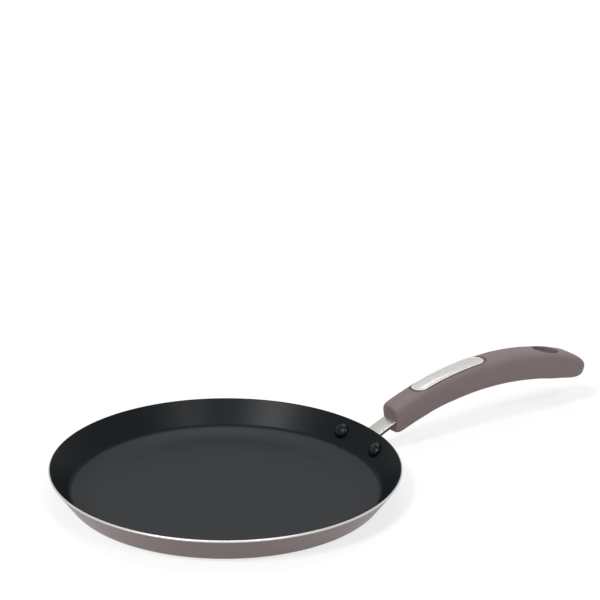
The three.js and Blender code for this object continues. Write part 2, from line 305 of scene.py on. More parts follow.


# Painted shade on the bracket: its press-cut sides, which keep the lines the press left, and the
# undersides of its rounded edges, painted darker than the steel
def shearedSteelPaintedShade():
    look = {
        "color": (0.075, 0.073, 0.07),
        "metallic": 0.6,
        "roughness": 0.6,
        "lineScale": 1500,
        "lineStretch": (1, 1, 0.1),
        "lineDepth": 0.03 * mm,
        "lineStrength": 0.5,
    }
    finish, shader = startFinish("shearedSteelPaintedShade", look)
    lines = grain(finish, look["lineScale"], stretch=look["lineStretch"])
    relief(finish, shader, lines, look["lineDepth"], look["lineStrength"])
    return finish


aluminium = turnedAluminium()
nonstick = blackNonstick()
lacquer = taupeLacquer()
rivetBlack = blackRivet()
steel = satinMetal("satinSteel", (0.465, 0.452, 0.425), 0.36)
inlayMetal = satinMetal("satinInlay", (0.53, 0.521, 0.508), 0.34)
# Lighter steel that paints a highlight on the bracket's upper rounded edges and the inlay's border
# slope
paintedHighlightEdge = satinMetal("paintedHighlightEdge", (0.74, 0.72, 0.7), 0.26)
shearedPaintedShade = shearedSteelPaintedShade()
zinc = satinMetal("zincPlate", (0.52, 0.53, 0.54), 0.4)
softGrip = softTouch("softTouch", (0.167, 0.127, 0.125))
# Soft-touch painted dark as a shadow, for a band round the inlay and the walls of its gap
seamPaintedShadow = softTouch("seamPaintedShadow", (0.055, 0.043, 0.041))
print("finishes ready")


# Shared modelling steps

def finishPiece(bm, name, finishes, nodes, sharpAngle=35):
    bmesh.ops.remove_doubles(bm, verts=bm.verts, dist=weldDistance)
    bmesh.ops.recalc_face_normals(bm, faces=bm.faces)
    mesh = bpy.data.meshes.new(name)
    bm.to_mesh(mesh)
    bm.free()
    for finish in finishes:
        mesh.materials.append(finish)
    mesh.shade_smooth()
    mesh.set_sharp_from_angle(angle=math.radians(sharpAngle))
    piece = bpy.data.objects.new(name, mesh)
    bpy.context.scene.collection.objects.link(piece)
    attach(piece, "root")
    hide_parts(*nodes)
    print(name, len(mesh.polygons), "faces")
    return piece


# Replaces a cage by the smooth surface that it describes
def smoothPiece(piece, levels):
    smooth = piece.modifiers.new("smooth", "SUBSURF")
    smooth.levels = levels
    smooth.render_levels = levels
    graph = bpy.context.evaluated_depsgraph_get()
    cage = piece.data
    piece.data = bpy.data.meshes.new_from_object(piece.evaluated_get(graph))
    piece.modifiers.clear()
    bpy.data.meshes.remove(cage)


def partsOf(made, kind):
    return [part for part in made if isinstance(part, kind)]


# A wire of corners in radius, height and rounding
def profileWire(bm, corners, segments=8):
    verts = [bm.verts.new((radius, 0, height)) for radius, height, _ in corners]
    for first, second in zip(verts, verts[1:]):
        bm.edges.new((first, second))
    points = [Vector((radius, 0, height)) for radius, height, _ in corners]
    for i, (_, _, rounding) in enumerate(corners):
        if not rounding:
            continue
        corner = (points[i - 1] - points[i]).angle(points[i + 1] - points[i])
        bmesh.ops.bevel(
            bm, geom=[verts[i]], offset=rounding / math.tan(corner / 2), offset_type="OFFSET",
            affect="VERTICES", segments=segments, profile=0.5, material=-1, clamp_overlap=False)


def turnAboutAxis(bm, steps, angle=wholeTurn):
    bmesh.ops.spin(
        bm, geom=bm.verts[:] + bm.edges[:] + bm.faces[:], cent=(0, 0, 0), axis=(0, 0, 1),
        angle=angle, steps=steps, use_merge=angle == wholeTurn)
    bmesh.ops.remove_doubles(bm, verts=bm.verts, dist=weldDistance)


# Dish, its two coats and its rivets

_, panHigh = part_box("pan_body")
rimInset = 0.06 * mm  # keeps the round rim inside the box of the faceted solid
dish = {
    "rimRadius": min(panHigh.x, panHigh.y) - rimInset,
    "height": panHigh.z,
    "wallAngle": math.radians(54),
    "wallThickness": 1.8 * mm,
    "floorLevel": 2.8 * mm,
    "floorRounding": 4 * mm,
    "edgeRise": 0.8 * mm,
    "edgeRiseFrom": 94 * mm,
    "edgeRiseRounding": 300 * mm,
    "footRounding": 8 * mm,
    "footBare": 0.6 * mm,
    "coat": 0.25 * mm,
    "coatGap": 0.1 * mm,
    "lipOutside": 1.2 * mm,
    "coatOverLip": math.radians(64),
    "steps": 240,
}
baseRings = {"count": 4, "first": 32 * mm, "pitch": 20 * mm, "width": 2.4 * mm, "depth": 0.5 * mm}

wallAngle = dish["wallAngle"]
wallThickness = dish["wallThickness"]
lacquerTop = dish["height"] - dish["lipOutside"]
lipRounding = wallThickness / 2
lipShare = 0.999  # just under 1, so that two arcs that meet leave an edge between them
lipCentre = Vector((dish["rimRadius"] - lipRounding, dish["height"] - lipRounding))
lipOuterSide = wallAngle - math.pi / 2
lipInnerSide = wallAngle + math.pi / 2
coatEnd = lipInnerSide - dish["coatOverLip"]


# Radius of the flared wall, with the depth counted from the cooking surface outwards
def wallRadius(depth, height):
    inward = (lipCentre.y - height) / math.tan(wallAngle)
    return lipCentre.x + (depth - lipRounding) / math.sin(wallAngle) - inward


def wallPoint(depth, height, rounding=0):
    return wallRadius(depth, height), height, rounding


# Corner on the lip's round section
def lipPoint(radius, angle, rounding=0):
    across = lipCentre.x + radius * math.cos(angle)
    return across, lipCentre.y + radius * math.sin(angle), rounding


# Corner whose rounding is the lip's arc between two angles
def lipArc(radius, start, end):
    return lipPoint(radius / math.cos((end - start) / 2), (start + end) / 2, lipShare * radius)


def dishBody():
    bm = bmesh.new()
    coat = dish["coat"] + dish["coatGap"]
    corners = [(0, 0, 0)]
    for i in range(baseRings["count"]):
        radius = baseRings["first"] + i * baseRings["pitch"]
        corners.append((radius - baseRings["width"] / 2, 0, 0))
        corners.append((radius, baseRings["depth"], baseRings["depth"]))
        corners.append((radius + baseRings["width"] / 2, 0, 0))
    corners.append(wallPoint(wallThickness - coat, 0, dish["footRounding"] - coat))
    corners.append(wallPoint(wallThickness - coat, lacquerTop))
    corners.append(wallPoint(wallThickness, lacquerTop))
    lipMiddle = (lipOuterSide + coatEnd) / 2
    corners.append(lipArc(lipRounding, lipOuterSide, lipMiddle))
    corners.append(lipArc(lipRounding, lipMiddle, coatEnd))
    corners.append(lipPoint(lipRounding, coatEnd))
    corners.append(lipPoint(lipRounding - coat, coatEnd))
    corners.append(lipArc(lipRounding - coat, coatEnd, lipInnerSide))
    corners.append(wallPoint(coat, dish["floorLevel"] - coat, dish["floorRounding"] + coat))
    corners.append((0, dish["floorLevel"] - coat, 0))
    profileWire(bm, corners)
    turnAboutAxis(bm, dish["steps"])
    finishPiece(bm, "dishBody", [aluminium], ["pan_body"])


def dishLining():
    bm = bmesh.new()
    end = coatEnd + dish["coatGap"] / lipRounding
    inside = lipRounding - dish["coat"]
    under = dish["floorLevel"] - dish["coat"]
    corners = [
        (0, under, 0),
        wallPoint(dish["coat"], under, dish["floorRounding"] + dish["coat"]),
        lipArc(inside, end, lipInnerSide),
        lipPoint(inside, end),
        lipPoint(lipRounding, end),
        lipArc(lipRounding, end, lipInnerSide),
        wallPoint(0, dish["floorLevel"] + dish["edgeRise"], dish["floorRounding"]),
        (dish["edgeRiseFrom"], dish["floorLevel"], dish["edgeRiseRounding"]),
        (0, dish["floorLevel"], 0),
    ]
    profileWire(bm, corners)
    turnAboutAxis(bm, dish["steps"])
    finishPiece(bm, "dishLining", [nonstick], ["nonstick_lining"])


def dishLacquer():
    bm = bmesh.new()
    top = lacquerTop - dish["coatGap"]
    inside = wallThickness - dish["coat"]
    corners = [
        wallPoint(inside, top),
        wallPoint(inside, 0, dish["footRounding"] - dish["coat"]),
        (wallRadius(inside, 0) - dish["footRounding"], 0, 0),
        (wallRadius(wallThickness, 0) - dish["footRounding"], 0, 0),
        wallPoint(wallThickness, 0, dish["footRounding"]),
        wallPoint(wallThickness, top),
        wallPoint(inside, top),
    ]
    profileWire(bm, corners)
    level = Vector((0, 0, dish["footBare"]))
    cut = bmesh.ops.bisect_plane(
        bm, geom=bm.verts[:] + bm.edges[:], plane_co=level, plane_no=(0, 0, 1), clear_inner=True)
    bm.edges.new(cut["geom_cut"])
    turnAboutAxis(bm, dish["steps"])
    finishPiece(bm, "dishLacquer", [lacquer], ["outer_lacquer"])


rivet = {
    "height": 12.2 * mm,
    "spacing": 41 * mm,
    "headRadius": 5.6 * mm,
    "headHeight": 3 * mm,
    "headEdge": 0.8 * mm,
    "headSeat": 0.15 * mm,
    "shoulderShare": 0.72,
    "shoulderDrop": 0.7 * mm,
    "shoulderRounding": 1.6 * mm,
    "crownShare": 0.3,
    "crownRounding": 2 * mm,
    "shankRadius": 2.5 * mm,
    "tailRadius": 4.2 * mm,
    "tailHeight": 1.8 * mm,
    "arcSteps": 5,
    "steps": 48,
}
plate = {
    "thickness": 2.4 * mm,
    "gap": 0.3 * mm,
    "earRadius": 6.4 * mm,
    "stripInset": 0.5 * mm,
    "capShare": 0.25,
    "columns": 32,
    "rows": 6,
}


def rivetPlace(side):
    radius = wallRadius(0, rivet["height"])
    azimuth = side * math.asin(rivet["spacing"] / 2 / radius)
    shift = Matrix.Translation((radius, 0, rivet["height"]))
    return Matrix.Rotation(azimuth, 4, "Z") @ shift @ Matrix.Rotation(-wallAngle, 4, "Y")


def wallRivet(name, side, node):
    bm = bmesh.new()
    seat = rivet["headSeat"]
    plateFace = -(wallThickness + 2 * plate["gap"] + plate["thickness"])
    tail = plateFace - rivet["tailHeight"]
    crown = seat + rivet["headHeight"]
    shoulder = crown - rivet["shoulderDrop"]
    corners = [
        (0, tail, 0),
        (rivet["tailRadius"], tail, rivet["tailHeight"] / 2),
        (rivet["tailRadius"], plateFace, 0),
        (rivet["shankRadius"], plateFace, 0),
        (rivet["shankRadius"], seat, 0),
        (rivet["headRadius"], seat, 0),
        (rivet["headRadius"], seat + rivet["headEdge"], rivet["headEdge"] / 2),
        (rivet["headRadius"] * rivet["shoulderShare"], shoulder, rivet["shoulderRounding"]),
        (rivet["headRadius"] * rivet["crownShare"], crown, rivet["crownRounding"]),
        (0, crown, 0),
    ]
    profileWire(bm, corners, segments=rivet["arcSteps"])
    turnAboutAxis(bm, rivet["steps"])
    for face in bm.faces:
        face.material_index = int(face.calc_center_median().z < seat)  # bare behind the head
    bmesh.ops.transform(bm, matrix=rivetPlace(side), verts=bm.verts)
    finishPiece(bm, name, [rivetBlack, aluminium], [node])


dishBody()
dishLining()
dishLacquer()
wallRivet("rivetLeft", 1, "rivet_left")
wallRivet("rivetRight", -1, "rivet_right")


# Bracket: ears on the wall, a bent neck and a tang inside the grip

neck = {
    "width": 13.8 * mm,
    "rise": math.radians(23.5),
    "rootHeight": 9.4 * mm,
    "bendRadius": 8 * mm,
    "length": 25 * mm,
    "tangLength": 48 * mm,
    "tangDrop": 0.8 * mm,
    "bendSteps": 12,
    "tangSteps": 8,
    "edge": 0.2 * mm,
    "shearedPaintedShade": 0.9,  # least share of a normal that looks aside
}
gripBend = 232 * mm

plateMiddle = wallThickness + plate["gap"] + plate["thickness"] / 2
wallOut = Vector((math.sin(wallAngle), 0, -math.cos(wallAngle)))
bendStart = Vector((wallRadius(plateMiddle, neck["rootHeight"]), 0, neck["rootHeight"]))
bendCentre = bendStart + neck["bendRadius"] * wallOut
neckAlong = Vector((math.cos(neck["rise"]), 0, math.sin(neck["rise"])))
neckUp = Vector((-math.sin(neck["rise"]), 0, math.cos(neck["rise"])))
neckEnd = bendCentre + neckUp * neck["bendRadius"] + neckAlong * neck["length"]
gripCentre = neckEnd - neckUp * (gripBend - neck["tangDrop"])


# Plan of a slot with half round ends, from a square of -1 to 1
def slotPlan(t, v, halfLength, halfWidth, capShare):
    straight = halfLength - halfWidth
    if abs(t) <= 1 - capShare:
        return t / (1 - capShare) * straight, v * halfWidth
    intoCap = (abs(t) - 1 + capShare) / capShare
    x = straight + halfWidth * intoCap * math.sqrt(1 - v * v / 2)
    return math.copysign(x, t), halfWidth * v * math.sqrt(1 - intoCap * intoCap / 2)


def roundEdges(bm, offset, segments=3, leastAngle=50):
    least = math.radians(leastAngle)
    edges = [edge for edge in bm.edges if edge.is_manifold and edge.calc_face_angle() > least]
    return bmesh.ops.bevel(
        bm, geom=edges, offset=offset, offset_type="OFFSET", affect="EDGES",
        segments=segments, profile=0.5, material=-1, clamp_overlap=True)["faces"]


# Turns an open sheet so that its faces look a given way
def faceToward(bm, direction):
    bmesh.ops.recalc_face_normals(bm, faces=bm.faces)
    bm.normal_update()
    if sum(face.normal.dot(direction) * face.calc_area() for face in bm.faces) < 0:
        bmesh.ops.reverse_faces(bm, faces=bm.faces)


# The plate that follows the wall, with a round ear for each rivet
def bracketEars(bm):
    made = bmesh.ops.create_grid(
        bm, x_segments=plate["columns"], y_segments=plate["rows"], size=1)
    halfLength = rivet["spacing"] / 2 + plate["earRadius"]
    depth = wallThickness + plate["gap"]
    level = rivet["height"] - depth * math.cos(wallAngle)
    middle = wallRadius(depth, level)
    for vert in made["verts"]:
        along, up = slotPlan(
            vert.co.x, vert.co.y, halfLength, plate["earRadius"], plate["capShare"])
        radius, azimuth = wallRadius(depth, level + up), along / middle
        vert.co = radius * math.cos(azimuth), radius * math.sin(azimuth), level + up
    faceToward(bm, Vector((-1, 0, 0)))
    bmesh.ops.solidify(bm, geom=bm.faces[:], thickness=plate["thickness"])


# The strip's middle line, grown from one vertex, then drawn out to its width and thickness
def bracketStrip(bm):
    earFoot = rivet["height"] - plateMiddle * math.cos(wallAngle) - plate["earRadius"]
    foot = earFoot + plate["stripInset"]
    half = plate["thickness"] / 2
    aside = Vector((0, -neck["width"] / 2, 0))
    start = Vector((wallRadius(plateMiddle, foot), 0, foot)) - wallOut * half
    path = [bm.verts.new(start + aside)]

    def goTo(point):
        made = bmesh.ops.extrude_vert_indiv(bm, verts=[path[-1]])
        made["verts"][0].co = point + aside
        path.append(made["verts"][0])

    def goRound(centre, angle, steps):
        made = bmesh.ops.spin(
            bm, geom=[path[-1]], cent=centre, axis=(0, 1, 0), angle=angle, steps=steps)
        path.append(made["geom_last"][0])

    goTo(bendStart - wallOut * half)
    goRound(bendCentre, wallAngle - neck["rise"], neck["bendSteps"])
    goTo(neckEnd + neckUp * half)
    goRound(gripCentre, neck["tangLength"] / (gripBend - neck["tangDrop"]), neck["tangSteps"])
    line = [edge for edge in bm.edges if edge.is_wire]
    band = bmesh.ops.extrude_edge_only(bm, edges=line)["geom"]
    farVerts = partsOf(band, bmesh.types.BMVert)
    bmesh.ops.translate(bm, verts=farVerts, vec=(0, neck["width"], 0))
    faceToward(bm, neckUp)
    bmesh.ops.solidify(bm, geom=bm.faces[:], thickness=plate["thickness"])


# Index of a face's finish: satin, a painted highlight on the rounded edges, or a painted shade on
# the press-cut sides and under the rounded edges
def bracketFinish(face, isEdge):
    if abs(face.normal.y) > neck["shearedPaintedShade"] or (isEdge and face.normal.z < 0):
        return 2
    return int(isEdge)


def handleBracket():
    ears, strip = bmesh.new(), bmesh.new()
    bracketEars(ears)
    bracketStrip(strip)
    for bm in (ears, strip):
        bmesh.ops.recalc_face_normals(bm, faces=bm.faces)
        rounded = set(roundEdges(bm, neck["edge"]))
        bm.normal_update()
        for face in bm.faces:
            face.material_index = bracketFinish(face, face in rounded)
    mesh = bpy.data.meshes.new("stripPart")
    strip.to_mesh(mesh)
    strip.free()
    ears.from_mesh(mesh)
    bpy.data.meshes.remove(mesh)
    # Satin steel, the edges' painted highlight and the painted shade of the sides
    finishes = [steel, paintedHighlightEdge, shearedPaintedShade]
    finishPiece(ears, "handleBracket", finishes, ["handle_bracket"])


handleBracket()


# Grip: a loft of rounded sections along a bent axis, smoothed by subdivision

grip = {
    "length": 183.2 * mm,
    "frontWidth": 18.5 * mm,
    "endWidth": 28.5 * mm,
    "frontHeight": 21.8 * mm,
    "endHeight": 21.2 * mm,
    "frontSquareness": 3.4,
    "endSquareness": 4.4,
    "frontRounding": 3 * mm,
    "frontSlant": 4.2 * mm,
    "slantFades": 20 * mm,
    "endRounding": 18 * mm,
    "topRounding": 25 * mm,
    "underRounding": 46 * mm,
    "frontInset": 3 * mm,
    "endInset": 0.2 * mm,
    "sides": 24,
    "patchHalf": 2,  # columns of a cut out on either side of the middle
    "frontRows": [0.1 * mm, 1 * mm, 3 * mm, 7 * mm, 14 * mm],
    "betweenRows": [94 * mm, 103 * mm, 112 * mm, 121 * mm, 128.5 * mm],
    "rowsFromEnd": [left * mm for left in (19, 15, 11.5, 8.5, 6, 4, 2.2, 0.9, 0.15)],
    "fitSteps": 12,
    "smoothing": 1.006,  # makes up for what subdivision takes off
    "levels": 2,
}
inlay = {
    "start": 22 * mm,
    "end": 85.5 * mm,
    "width": 13.6 * mm,
    "thickness": 1.2 * mm,
    "proud": 0.2 * mm,
    "gap": 0.35 * mm,
    "paintedShadowWidth": 0.65 * mm,
    "edgeWidth": 0.1 * mm,
    "edgeDepth": 0.15 * mm,
    "cornerWidth": 0.3 * mm,
    "cornerHeight": 0.2 * mm,
    "capShare": 3 / 7,
    "rows": 14,
}
hole = {
    "place": 146 * mm,
    "length": 21.5 * mm,
    "width": 17 * mm,
    "rim": 1.4 * mm,
    "edgeWidth": 0.2 * mm,
    "edgeDepth": 0.1 * mm,
    "rows": 6,
}
screw = {
    "place": 31 * mm,
    "radius": 2 * mm,
    "headRadius": 3.8 * mm,
    "headHeight": 2.4 * mm,
    "crownShare": 0.6,
    "crownRounding": 1 * mm,
    "shoulderHeight": 0.6 * mm,
    "shoulderRounding": 0.5 * mm,
    "reach": 3.5 * mm,
    "web": 3.2 * mm,
    "gap": 0.3 * mm,
    "slotWidth": 1 * mm,
    "slotDepth": 1.2 * mm,
    "washerThickness": 1 * mm,
    "washerSplit": 1.2 * mm,
    "boreEdge": 0.8 * mm,
    "boreLip": 0.1 * mm,
    "boreStep": 1.5 * mm,
    "boreFrom": 2,  # cage rows after the first one of the inlay
    "boreRows": 3,
    "arcSteps": 4,
    "steps": 40,
}
screwSeat = -plate["thickness"] / 2 - neck["tangDrop"] - screw["gap"] - screw["web"]
inlayMiddle = (inlay["start"] + inlay["end"]) / 2
inlayHalf = (inlay["end"] - inlay["start"]) / 2


# Frame on the grip's bent axis: X along it, Z to its top
def alongGrip(distance):
    turn = distance / gripBend - neck["rise"]
    point = gripCentre + gripBend * Vector((math.sin(turn), 0, math.cos(turn)))
    return Matrix.Translation(point) @ Matrix.Rotation(turn, 4, "Y")


# Share of the full section that is left where the end rounds off
def endFall(distance, length):
    left = min((grip["length"] - distance) / length, 1)
    return math.sqrt(max(1 - (1 - left) ** 2, 0))


def blend(first, second, share):
    return first + (second - first) * share


# Reach of the surface from the axis to the side, the top and the underside
def gripReach(distance):
    share = distance / grip["length"]
    side = blend(grip["frontWidth"], grip["endWidth"], share) / 2
    height = blend(grip["frontHeight"], grip["endHeight"], share ** 2) / 2
    toFront = max(grip["frontRounding"] - distance, 0)
    ease = grip["frontRounding"] - math.sqrt(grip["frontRounding"] ** 2 - toFront ** 2)
    return (
        side * endFall(distance, grip["endRounding"]) - ease,
        height * endFall(distance, grip["topRounding"]) - ease,
        height * endFall(distance, grip["underRounding"]) - ease,
    )


# Power of the rounded section: squarish along the grip, an ellipse at its very end
def gripSquareness(distance):
    squareness = blend(grip["frontSquareness"], grip["endSquareness"], distance / grip["length"])
    return blend(2, squareness, endFall(distance, grip["endRounding"]))


# Point of the grip's surface above or below a plan point of some frame
def gripPoint(plan, x, y, up):
    distance = x + (plan.translation - alongGrip(0).translation).length
    back = plan.inverted()
    for _ in range(grip["fitSteps"]):
        side, top, under = gripReach(distance)
        power = gripSquareness(distance)
        fall = max(1 - abs(y / side) ** power, 0) ** (1 / power)
        point = alongGrip(distance) @ Vector((0, y, top * fall if up else -under * fall))
        distance += x - (back @ point).x
    return point


# One ring of the cage. The front ones lean, so that the underside reaches nearer to the dish
def gripRing(bm, distance):
    side, top, under = (reach * grip["smoothing"] for reach in gripReach(distance))
    bow = 2 / gripSquareness(distance)
    lean = grip["frontSlant"] * max(1 - distance / grip["slantFades"], 0) ** 2
    made = bmesh.ops.create_circle(bm, segments=grip["sides"], radius=1)["verts"]
    made.sort(key=lambda vert: math.atan2(vert.co.y, vert.co.x) % wholeTurn)
    for vert in made:
        across, up = (math.copysign(abs(part) ** bow, part) for part in vert.co.xy)
        height = up * (top if up > 0 else under)
        forward = lean * (top - height) / (top + under)
        vert.co = alongGrip(distance) @ Vector((-forward, across * side, height))
    return made


def loopEdges(bm, loop):
    return [bm.edges.get(pair) for pair in zip(loop, loop[1:] + loop[:1])]


def evenSteps(middle, half, count):
    return [middle + half * (-1 + 2 * i / count) for i in range(count + 1)]


# Takes a patch of rows and columns out of the cage.
# Gives its border, with each vertex's place in a square of -1 to 1
def takePatch(bm, rings, rows, columns):
    kept = [rings[row] for row in rows]
    t = evenSteps(0, 1, len(rows) - 1)
    v = evenSteps(0, 1, len(columns) - 1)
    inside = {ring[column] for ring in kept for column in columns}
    faces = [face for face in bm.faces if inside.issuperset(face.verts)]
    border = [(kept[0][c], t[0], v[j]) for j, c in enumerate(columns)]
    border += [(kept[i][columns[-1]], t[i], v[-1]) for i in range(1, len(rows))]
    border += [(kept[-1][c], t[-1], v[j]) for j, c in reversed(list(enumerate(columns))[:-1])]
    border += [(kept[i][columns[0]], t[i], v[0]) for i in range(len(rows) - 2, 0, -1)]
    bmesh.ops.delete(bm, geom=faces, context="FACES")
    return border


# Draws a new loop out of a loop of vertices, with the faces between the two
def drawLoop(bm, loop):
    made = bmesh.ops.extrude_edge_only(bm, edges=loopEdges(bm, loop))["geom"]
    fresh = set(partsOf(made, bmesh.types.BMVert))
    drawn = [next(e.other_vert(v) for e in v.link_edges if e.other_vert(v) in fresh) for v in loop]
    return drawn, partsOf(made, bmesh.types.BMFace)


# Draws a border inwards, loop by loop. Each step holds what the place function takes for its loop
def sinkBorder(bm, border, place, steps, finishIndex=0):
    loop = [vert for vert, _, _ in border]
    for number, step in enumerate(steps):
        if number:
            loop, faces = drawLoop(bm, loop)
            for face in faces:
                face.material_index = finishIndex
        for vert, (_, t, v) in zip(loop, border):
            vert.co = place(t, v, *step)
    return loop


# Plan of an ellipse, from the same square
def ellipsePlan(t, v, halfLength, halfWidth):
    return halfLength * t * math.sqrt(1 - v * v / 2), halfWidth * v * math.sqrt(1 - t * t / 2)


def inlayPoint(t, v, growth, depth):
    plan = alongGrip(inlayMiddle)
    halfWidth = inlay["width"] / 2 + growth
    x, y = slotPlan(t, v, inlayHalf + growth, halfWidth, inlay["capShare"])
    return gripPoint(plan, x, y, True) - plan.to_3x3().col[2] * depth


def holePoint(t, v, growth, depth, up):
    upright = Matrix.Translation(alongGrip(hole["place"]).translation)
    x, y = ellipsePlan(t, v, hole["length"] / 2 + growth, hole["width"] / 2 + growth)
    return gripPoint(upright, x, y, up) - Vector((0, 0, depth if up else -depth))


def borePoint(t, v, radius, height=None):
    place = alongGrip(screw["place"])
    x, y = ellipsePlan(t, v, radius, radius)
    return gripPoint(place, x, y, False) if height is None else place @ Vector((x, y, height))


# Distances of the cage's rings, with more of them round the inlay, the hole and the end
def cageRows():
    axisHalf = inlayHalf * gripBend / (gripBend + grip["frontHeight"] / 2)
    inlayRows = evenSteps(inlayMiddle, axisHalf, inlay["rows"])
    holeRows = evenSteps(hole["place"], hole["length"] / 2 + hole["rim"], hole["rows"])
    endRows = [grip["length"] - left for left in grip["rowsFromEnd"]]
    return grip["frontRows"], inlayRows, grip["betweenRows"], holeRows, endRows


# The lofted cage with both ends closed, before anything is cut into it
def gripCage(bm, rows):
    rings = [gripRing(bm, distance) for distance in rows]
    for first, second in zip(rings, rings[1:]):
        bmesh.ops.bridge_loops(bm, edges=loopEdges(bm, first) + loopEdges(bm, second))
    for ring, inset in ((rings[0], grip["frontInset"]), (rings[-1], grip["endInset"])):
        cap = bmesh.ops.edgeloop_fill(bm, edges=loopEdges(bm, ring))["faces"]
        bmesh.ops.inset_region(bm, faces=cap, thickness=inset, use_even_offset=True)
    return rings


def sinkInlayBed(bm, rings, first, columns):
    depth = inlay["thickness"] + inlay["gap"]
    border = takePatch(bm, rings, range(first, first + inlay["rows"] + 1), columns)
    # The faces drawn here, a band of the grip round the gap, its edge and the gap's walls, take
    # the painted shadow
    bedFloor = sinkBorder(bm, border, inlayPoint, [
        (inlay["gap"] + inlay["paintedShadowWidth"], 0),
        (inlay["gap"] + inlay["edgeWidth"], 0),
        (inlay["gap"], inlay["edgeDepth"]),
        (inlay["gap"], depth - inlay["cornerHeight"]),
        (inlay["gap"] - inlay["cornerWidth"], depth),
    ], finishIndex=1)
    bmesh.ops.edgeloop_fill(bm, edges=loopEdges(bm, bedFloor))


def cutHole(bm, rings, first, topColumns, underColumns):
    walls = []
    for columns, up in ((topColumns, True), (underColumns, False)):
        border = takePatch(bm, rings, range(first, first + hole["rows"] + 1), columns)
        walls.append(sinkBorder(bm, border, holePoint, [
            (hole["rim"], 0, up),
            (hole["edgeWidth"], hole["edgeDepth"], up),
            (0, hole["rim"], up),
        ]))
    bmesh.ops.bridge_loops(bm, edges=loopEdges(bm, walls[0]) + loopEdges(bm, walls[1]))


def sinkBore(bm, rings, first, columns):
    radius = screw["headRadius"] + screw["gap"]
    border = takePatch(bm, rings, range(first, first + screw["boreRows"] + 1), columns)
    boreEnd = sinkBorder(bm, border, borePoint, [
        (radius + screw["boreEdge"],),
        (radius + screw["boreLip"],),
        (radius, screwSeat - screw["boreStep"]),
        (radius, screwSeat),
    ])
    bmesh.ops.edgeloop_fill(bm, edges=loopEdges(bm, boreEnd))


def handleGrip():
    bm = bmesh.new()
    frontRows, inlayRows, betweenRows, holeRows, endRows = cageRows()
    rings = gripCage(bm, frontRows + inlayRows + betweenRows + holeRows + endRows)
    inlayFirst = len(frontRows)
    holeFirst = len(frontRows + inlayRows + betweenRows)
    half = grip["patchHalf"]
    topMiddle = grip["sides"] // 4
    underMiddle = grip["sides"] * 3 // 4
    topColumns = range(topMiddle + half, topMiddle - half - 1, -1)
    underColumns = range(underMiddle - half, underMiddle + half + 1)
    sinkInlayBed(bm, rings, inlayFirst, topColumns)
    cutHole(bm, rings, holeFirst, topColumns, underColumns)
    sinkBore(bm, rings, inlayFirst + screw["boreFrom"], underColumns)
    # The grip's soft-touch and the painted shadow round its inlay
    finishes = [softGrip, seamPaintedShadow]
    piece = finishPiece(
        bm, "handleGrip", finishes, ["handle_grip"], sharpAngle=180)
    smoothPiece(piece, grip["levels"])


handleGrip()


# Inlay plate: a crowned slot that follows the grip, with a raised border

inlayFace = {
    "border": 0.9 * mm,
    "fall": 0.4 * mm,
    "line": 0.2 * mm,
    "lineDepth": 0.12 * mm,
    "columns": 56,
    "rows": 12,
}


def inlayPlate():
    bm = bmesh.new()
    fieldGrowth = -inlayFace["border"] - inlayFace["line"]
    fieldDepth = inlayFace["lineDepth"] - inlay["proud"]
    bmesh.ops.create_grid(
        bm, x_segments=inlayFace["columns"], y_segments=inlayFace["rows"], size=1)
    rim = [vert for vert in bm.verts if vert.is_boundary]
    rim.sort(key=lambda vert: math.atan2(vert.co.y, vert.co.x))
    border = [(vert, vert.co.x, vert.co.y) for vert in rim]
    for vert in bm.verts:
        vert.co = inlayPoint(vert.co.x, vert.co.y, fieldGrowth, fieldDepth)

    def draw(loop, growth, depth):
        drawn, faces = drawLoop(bm, loop)
        for vert, (_, t, v) in zip(drawn, border):
            vert.co = inlayPoint(t, v, growth, depth)
        return drawn, faces

    crest, _ = draw(rim, -inlayFace["border"], -inlay["proud"])
    edge, slope = draw(crest, 0, inlayFace["fall"] - inlay["proud"])
    # The border's slope takes the painted highlight
    for face in slope:
        face.material_index = 1
    under, _ = draw(edge, 0, inlay["thickness"] - inlay["proud"])
    bmesh.ops.edgeloop_fill(bm, edges=loopEdges(bm, under))
    finishPiece(bm, "inlayPlate", [inlayMetal, paintedHighlightEdge], ["inlay_plate"])


inlayPlate()


# Screw under the grip, with its split washer

# Sinks a cross into the head, on the faces that lie below a level
def cutCross(bm, level):
    reach, half = screw["headRadius"] / 2, screw["slotWidth"] / 2
    for axis in (Vector((1, 0, 0)), Vector((0, 1, 0))):
        for place in (-reach, -half, half, reach):
            bmesh.ops.bisect_plane(
                bm, geom=bm.verts[:] + bm.edges[:] + bm.faces[:],
                plane_co=axis * place, plane_no=axis)

    def inCross(face):
        x, y, z = face.calc_center_median()
        low, high = sorted((abs(x), abs(y)))
        return z < level and low < half and high < reach

    cross = [face for face in bm.faces if inCross(face)]
    made = bmesh.ops.extrude_face_region(bm, geom=cross)["geom"]
    sunk = partsOf(made, bmesh.types.BMVert)
    bmesh.ops.translate(bm, verts=sunk, vec=(0, 0, screw["slotDepth"]))
    bmesh.ops.delete(bm, geom=[face for face in cross if face.is_valid], context="FACES")


